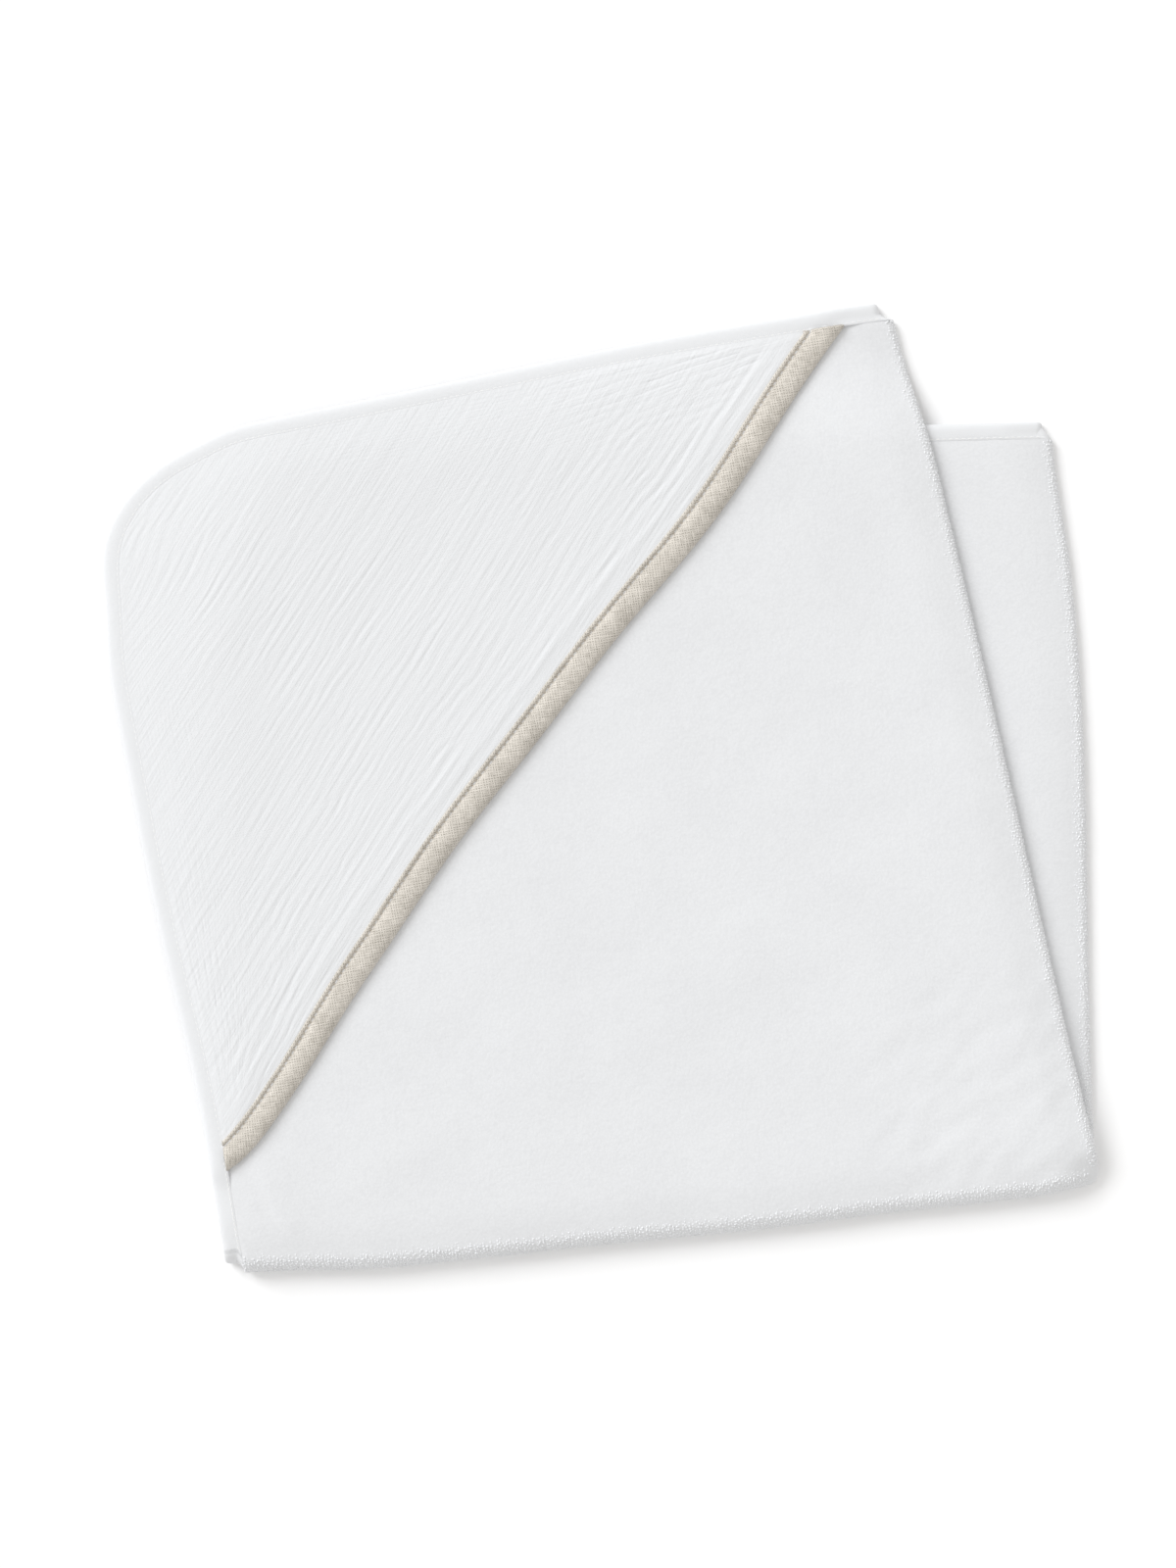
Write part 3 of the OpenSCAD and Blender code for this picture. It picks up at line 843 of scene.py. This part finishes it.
def gauze_height(s, t, depth, x, y):
    """Height of the gauze's top face over the middle of the terry."""
    from_seam = depth - BINDING_W
    from_tape = t - TAPE_IN
    body = GAUZE_MIDDLE + 0.3 * MM * noise(x / (60 * MM), y / (60 * MM), 47)
    near_tape = ramp(from_tape, -0.5 * MM, 7 * MM)
    puff = 0.36 * MM * bump(from_tape, 8 * MM, 5 * MM) + 0.1 * MM * bump(from_tape, 17 * MM, 3 * MM)
    k = GAUZE_AT_TAPE + (body - GAUZE_AT_TAPE + puff) * near_tape
    seam = ramp(from_seam, -2.5 * MM, 16 * MM)
    k = GAUZE_AT_SEAM + (k - GAUZE_AT_SEAM) * seam
    k = k - 0.42 * MM * ramp(from_seam, -0.1 * MM, -1.3 * MM)
    from_side = x - BINDING_W
    mask = ramp(from_seam, -1 * MM, 3 * MM) * (0.7 + 0.3 * ramp(from_side, 2 * MM, 14 * MM))
    mask = mask * (0.5 + 0.5 * ramp(from_tape, 5 * MM, 18 * MM)) * ramp(from_tape, -1 * MM, 3 * MM)
    k = k + gauze_crinkle(x, y, s) * mask
    ridges = np.sin(2 * PI * (from_tape / (5.6 * MM) + 1.1 * noise(s / (90 * MM), 0.2, 48)))
    k = k + 0.10 * MM * ridges * bump(from_tape, 12 * MM, 8 * MM) * seam
    under_tape = ramp(from_tape, 0.4 * MM, -1.2 * MM)
    return k * (1 - under_tape) + GAUZE_UNDER_TAPE * under_tape


def make_gauze():
    s, t = hood_grid(258, 190, BINDING_W - 1.4 * MM, -1.5 * MM)
    x, y = hood_own(s, t)
    depth = inset(x, y)
    k = gauze_height(s, t, depth, x, y)
    top = lay_hood(s, t, k)
    bottom = lay_hood(s, t, k - GAUZE_T)
    obj = sheet_mesh("hood_gauze_panel", top, bottom, np.stack([x, y], -1))
    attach(obj, "upper_half")
    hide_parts("hood_gauze")
    return obj


def make_lining():
    s, t = hood_grid(60, 80, BINDING_W - 1.6 * MM, -1.8 * MM)
    x, y = hood_own(s, t)
    depth = inset(x, y)
    full = ramp(depth, BINDING_W - MM, BINDING_W + 9 * MM)
    top = lay_hood(s, t, (2.45 + 0.45 * full) * MM)
    bottom = lay_hood(s, t, (1.75 + 0.1 * full) * MM)
    obj = sheet_mesh("hood_terry_lining", top, bottom, np.stack([x, y], -1))
    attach(obj, "upper_half")
    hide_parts("hood_lining")
    return obj


def tape_section():
    """The rolled tape's cross-section, as the path of its cloth: distance towards the hood from
    the middle of the tape, and height over the middle of the terry. It is turned under at both
    edges, pinched by its stitches near the hood side, and plump over the hood's thick edge."""
    top = [(2.9, 3.26), (4.6, 3.57), (5.9, 3.84), (6.35, 4.19), (6.3, 4.54), (5.85, 4.67),
           (5.3, 4.50), (4.75, 3.84), (4.25, 3.48), (3.75, 3.79), (3.2, 4.58), (2.3, 5.16),
           (1.0, 5.53), (-0.5, 5.68), (-2.1, 5.60), (-3.6, 5.26), (-4.9, 4.65), (-5.8, 3.85),
           (-6.3, 3.04), (-6.35, 2.43), (-6.0, 2.03), (-5.0, 1.90)]
    bottom = [(-2.5, 1.88), (0.5, 1.88), (3.5, 1.88), (5.6, 1.92), (6.2, 2.05), (5.6, 2.25),
              (3.2, 2.3)]
    return np.array(top + bottom) * MM


TAPE_CLOTH_T = 0.5 * MM
TAPE_STEP = 1.5 * MM             # between two rows of points along it
TAPE_STITCH = 2.35 * MM, 0.27 * MM     # length and radius
TAPE_STITCH_STEP = 3.0 * MM
TAPE_STITCH_TOP = 3.80 * MM      # height over the middle of the terry


def make_tape():
    path = tape_section()
    normal = path_normals(path)
    s_start, s_stop = hood_span(path[:, 0], BINDING_W - 0.5 * MM)
    share = np.linspace(0, 1, int(HOOD_EDGE / TAPE_STEP))[:, None]
    s = s_start[None] + share * (s_stop - s_start)[None]
    t = np.broadcast_to(path[None, :, 0], s.shape)
    lumps = 0.16 * MM * noise(s / (34 * MM), 0.4, 51)
    lumps = lumps + 0.22 * MM * noise((s + t) / (7 * MM), (s - t) / (16 * MM), 52)
    lumps = lumps * np.clip((path[None, :, 1] - 2.2 * MM) / (3 * MM), 0, 1)

    def surface(offset):
        k = path[None, :, 1] + lumps - offset * normal[None, :, 1]
        return lay_hood(s, t - offset * normal[None, :, 0], k)

    outer, inner = surface(TAPE_CLOTH_T / 2), surface(-TAPE_CLOTH_T / 2)
    length = run_along(path)
    uv = np.stack(np.broadcast_arrays(s, length[None, :]), -1)
    obj = sheet_mesh("hood_front_tape", outer, inner, uv)
    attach(obj, "upper_half")
    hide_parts("hood_edge_tape")
    return obj


def make_tape_stitches():
    first = 18 * MM
    count = int((HOOD_EDGE - 2 * first) / TAPE_STITCH_STEP)
    s = first + np.arange(count + 1) * TAPE_STITCH_STEP
    t = np.full(len(s), TAPE_IN - TAPE_STITCH_IN + 0.1 * MM)
    line = lay_hood(s, t, np.full(len(s), TAPE_STITCH_TOP))
    up = np.tile([0.0, 0.0, 1.0], (count, 1))
    centre, tangent, up = frames(line, up)
    obj = thread_mesh("tape_stitches", thread_points(centre, tangent, up, *TAPE_STITCH))
    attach(obj, "upper_half")
    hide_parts("hood_tape_stitching")
    return obj


# ---- materials ----

class Graph:
    """A short way to write a material's nodes."""

    def __init__(self, name):
        self.material = bpy.data.materials.new(name)
        self.material.use_nodes = True
        self.tree = self.material.node_tree
        self.shader = self.tree.nodes["Principled BSDF"]

    def node(self, kind, **settings):
        made = self.tree.nodes.new("ShaderNode" + kind)
        for key, value in settings.items():
            setattr(made, key, value)
        return made

    def put(self, socket, value):
        if isinstance(value, bpy.types.NodeSocket):
            self.tree.links.new(value, socket)
        else:
            socket.default_value = value

    def math(self, operation, *values):
        made = self.node("Math", operation=operation)
        for socket, value in zip(made.inputs, values):
            self.put(socket, value)
        return made.outputs[0]

    def blend(self, first, second, share):
        """A weighted sum: share of the second value, and the rest of the first."""
        parts = self.math("MULTIPLY", first, 1 - share), self.math("MULTIPLY", second, share)
        return self.math("ADD", *parts)

    def mix(self, factor, low, high):
        """A colour between low and high. The sockets are those of a Mix node set to colours."""
        made = self.node("Mix", data_type="RGBA")
        self.put(made.inputs[0], factor)
        self.put(made.inputs[6], low)
        self.put(made.inputs[7], high)
        return made.outputs[2]

    def uv(self):
        return self.node("TexCoord").outputs["UV"]

    def turned(self, vector, turn, scale=(1, 1, 1)):
        """The vector turned about Z, and then scaled."""
        turner, scaler = self.node("Mapping"), self.node("Mapping")
        turner.inputs["Rotation"].default_value = (0, 0, turn)
        scaler.inputs["Scale"].default_value = scale
        self.put(turner.inputs["Vector"], vector)
        self.put(scaler.inputs["Vector"], turner.outputs[0])
        return scaler.outputs[0]

    def noise(self, vector, scale, detail=2.0, rough=0.5):
        made = self.node("TexNoise")
        self.put(made.inputs["Vector"], vector)
        made.inputs["Scale"].default_value = scale
        made.inputs["Detail"].default_value = detail
        made.inputs["Roughness"].default_value = rough
        return made.outputs["Fac"]

    def share(self, value, low, high):
        """0 at low, 1 at high and straight in between."""
        made = self.node("MapRange")
        for key, v in (("Value", value), ("From Min", low), ("From Max", high)):
            self.put(made.inputs[key], v)
        return made.outputs[0]

    def bump(self, height, distance, strength=1.0, normal=None):
        made = self.node("Bump")
        made.inputs["Strength"].default_value = strength
        made.inputs["Distance"].default_value = distance
        self.put(made.inputs["Height"], height)
        if normal is not None:
            self.put(made.inputs["Normal"], normal)
        return made.outputs[0]

    def finish(self, color, roughness, normal, sheen=0.0, sheen_roughness=0.5):
        self.put(self.shader.inputs["Base Color"], color)
        self.put(self.shader.inputs["Roughness"], roughness)
        self.put(self.shader.inputs["Normal"], normal)
        self.shader.inputs["Specular IOR Level"].default_value = 0.25
        self.shader.inputs["Sheen Weight"].default_value = sheen
        self.shader.inputs["Sheen Roughness"].default_value = sheen_roughness
        return self.material


def weave(g, vector, threads, turn=0.0):
    """A plain weave: the height of crossing warp and weft, from 0 to 1, threads to the metre."""
    split = g.node("SeparateXYZ")
    g.put(split.inputs[0], g.turned(vector, turn))
    x = g.math("MULTIPLY", split.outputs[0], PI * threads)
    y = g.math("MULTIPLY", split.outputs[1], PI * threads)
    sx, sy = g.math("SINE", x), g.math("SINE", y)
    cx, cy = g.math("COSINE", x), g.math("COSINE", y)
    over = g.math("MULTIPLY", g.math("MULTIPLY", sx, sy), 0.5)
    warp = g.math("MULTIPLY", g.math("ABSOLUTE", cx), g.math("ADD", 0.5, over))
    weft = g.math("MULTIPLY", g.math("ABSOLUTE", cy), g.math("SUBTRACT", 0.5, over))
    return g.math("MAXIMUM", warp, weft)


# The darker and the lighter tone of each cloth.
TERRY_TONES = (0.718, 0.725, 0.741, 1), (0.766, 0.775, 0.790, 1)
# The open loops are the terry's cloth made about 15 % lighter. This is painted highlight, as where
# loops stand out at a fold and catch the light, and it also lifts the shade among them.
PAINTED_HIGHLIGHT_LOOP_TONES = (0.823, 0.831, 0.849, 1), (0.889, 0.899, 0.916, 1)
GAUZE_TONES = (0.726, 0.735, 0.750, 1), (0.756, 0.765, 0.780, 1)
BINDING_TONES = (0.753, 0.762, 0.778, 1), (0.803, 0.812, 0.828, 1)
TAPE_TONES = (0.269, 0.245, 0.205, 1), (0.887, 0.836, 0.766, 1)
WHITE_THREAD = (0.84, 0.84, 0.835, 1)
BEIGE_THREAD = (0.52, 0.47, 0.40, 1)
FLOOR_TONES = (0.95, 0.95, 0.955, 1), (0.965, 0.965, 0.97, 1)


def terry_material(name, tones):
    g = Graph(name)
    uv = g.uv()
    loops = g.node("TexVoronoi", feature="SMOOTH_F1")
    g.put(loops.inputs["Vector"], uv)
    loops.inputs["Scale"].default_value = 820
    loops.inputs["Smoothness"].default_value = 0.6
    loop_high = g.math("SUBTRACT", 1.0, loops.outputs["Distance"])
    fuzz = g.noise(uv, 2600, 3.0, 0.65)
    patch = g.noise(uv, 240, 3.0, 0.6)
    broad = g.noise(uv, 26, 2.0, 0.5)
    normal = g.bump(patch, 0.6 * MM, 0.22)
    normal = g.bump(g.blend(loop_high, fuzz, 0.5), 0.5 * MM, 0.36, normal)
    tone = g.blend(g.blend(loop_high, patch, 0.5), broad, 0.4)
    color = g.mix(g.share(tone, 0.35, 0.75), *tones)
    return g.finish(color, 0.95, normal, sheen=0.25, sheen_roughness=0.6)


def gauze_material():
    g = Graph("double_gauze")
    uv = g.uv()
    along_ribs = g.turned(uv, -RIBS_TURN, (1, 14, 1))
    fine_ribs = g.noise(along_ribs, 32, 3.0, 0.62)
    threads = weave(g, uv, 900)
    slub = g.noise(uv, 620, 3.0, 0.6)
    normal = g.bump(fine_ribs, 1.0 * MM, 0.42)
    normal = g.bump(g.blend(threads, slub, 0.5), 0.3 * MM, 0.5, normal)
    color = g.mix(g.share(slub, 0.3, 0.7), *GAUZE_TONES)
    return g.finish(color, 0.9, normal, sheen=0.12, sheen_roughness=0.5)


def binding_material():
    g = Graph("binding_cotton")
    uv = g.uv()
    threads = weave(g, uv, 1500, math.radians(45))
    slub = g.noise(uv, 500, 3.0, 0.6)
    normal = g.bump(slub, 0.5 * MM, 0.35)
    normal = g.bump(threads, 0.25 * MM, 0.6, normal)
    color = g.mix(threads, *BINDING_TONES)
    return g.finish(color, 0.88, normal, sheen=0.1, sheen_roughness=0.5)


def tape_material():
    g = Graph("linen_tape")
    uv = g.uv()
    threads = weave(g, uv, 800, math.radians(45))
    slubs = [g.noise(g.turned(uv, math.radians(45), scale), 240, 3.0, 0.6)
             for scale in ((1, 4, 1), (4, 1, 1))]
    tone = g.blend(threads, g.blend(*slubs, 0.5), 0.58)
    normal = g.bump(tone, 0.9 * MM, 0.8)
    tone = g.blend(tone, g.noise(uv, 85, 2.0, 0.5), 0.17)
    color = g.mix(g.share(tone, 0.28, 0.66), *TAPE_TONES)
    return g.finish(color, 0.85, normal, sheen=0.1, sheen_roughness=0.5)


def thread_material(name, color):
    g = Graph(name)
    where = g.node("TexCoord").outputs["Object"]
    ply = g.noise(where, 2200, 2.0, 0.5)
    light = tuple(min(1.0, c * 1.12) for c in color[:3]) + (1,)
    return g.finish(g.mix(ply, color, light), 0.7, g.bump(ply, 0.2 * MM, 0.6), sheen=0.1)


# ---- stage ----

VIEW_CENTRE = (-0.0105, 0.0151)  # middle of the picture, on the table
VIEW_HEIGHT = 0.7205             # what the picture shows from bottom to top
VIEW_TURN = math.radians(-6)     # the bottom fold rises to the right by this much
EYE_HEIGHT = 1.8
FOCUS_HEIGHT = 12 * MM           # the height at which the picture shows VIEW_HEIGHT
FLOOR_REACH = 6.0
SUN_PLACE = (-0.99, 1.01, 0.95)  # it shines from here to the origin


def make_camera():
    data = bpy.data.cameras.new("camera")
    data.sensor_width = 36
    data.lens = data.sensor_width * (EYE_HEIGHT - FOCUS_HEIGHT) / VIEW_HEIGHT
    data.clip_start, data.clip_end = 0.05, 20
    cam = bpy.data.objects.new("camera", data)
    cam.location = (*VIEW_CENTRE, EYE_HEIGHT)
    cam.rotation_euler = (0, 0, VIEW_TURN)
    bpy.context.scene.collection.objects.link(cam)
    bpy.context.scene.camera = cam


def make_floor():
    mesh = bpy.data.meshes.new("floor")
    r = FLOOR_REACH
    mesh.from_pydata([(-r, -r, 0), (r, -r, 0), (r, r, 0), (-r, r, 0)], [], [(0, 1, 2, 3)])
    floor = bpy.data.objects.new("floor", mesh)
    floor.location.z = -0.2 * MM
    bpy.context.scene.collection.objects.link(floor)
    g = Graph("pale_floor")
    where = g.node("TexCoord").outputs["Object"]
    grain = g.noise(where, 3.0, 2.0, 0.5)
    color = g.mix(grain, *FLOOR_TONES)
    mesh.materials.append(g.finish(color, 0.9, g.bump(grain, 1.0 * MM, 0.05)))


def make_lights():
    """A bright sky all round and one soft light from the picture's upper left."""
    world = bpy.data.worlds.new("studio")
    bpy.context.scene.world = world
    world.use_nodes = True
    sky = world.node_tree.nodes["Background"]
    sky.inputs["Color"].default_value = (1.0, 0.99, 0.97, 1)
    sky.inputs["Strength"].default_value = 0.77
    data = bpy.data.lights.new("key", "SUN")
    data.energy = 2.03
    data.angle = math.radians(32)
    data.color = (0.965, 0.98, 1.0)
    key = bpy.data.objects.new("key", data)
    key.location = SUN_PLACE
    key.rotation_euler = (-key.location).to_track_quat("-Z", "Y").to_euler()
    bpy.context.scene.collection.objects.link(key)
    bpy.context.scene.view_settings.view_transform = "Standard"


# ---- the whole towel ----

terry = make_terry()
binding = make_binding()
stitches = make_binding_stitches()
lining = make_lining()
gauze = make_gauze()
tape = make_tape()
tape_stitches = make_tape_stitches()
piles = [
    make_bottom_pile(),
    make_side_pile("upper_fold_pile", UPPER, 0.0, 6),
    make_side_pile("lower_fold_pile", LOWER, PI, 7),
]

terry_cotton = terry_material("terry_cotton", TERRY_TONES)
# The pile on the folds gets the lighter copy of the terry, with its painted highlight.
painted_highlight_loops = terry_material("open_terry_loops_painted_highlight", PAINTED_HIGHLIGHT_LOOP_TONES)
for piece in (terry, lining):
    piece.data.materials.append(terry_cotton)
for piece in piles:
    piece.data.materials.append(painted_highlight_loops)
gauze.data.materials.append(gauze_material())
binding.data.materials.append(binding_material())
tape.data.materials.append(tape_material())
stitches.data.materials.append(thread_material("white_thread", WHITE_THREAD))
tape_stitches.data.materials.append(thread_material("beige_thread", BEIGE_THREAD))

make_camera()
make_floor()
make_lights()
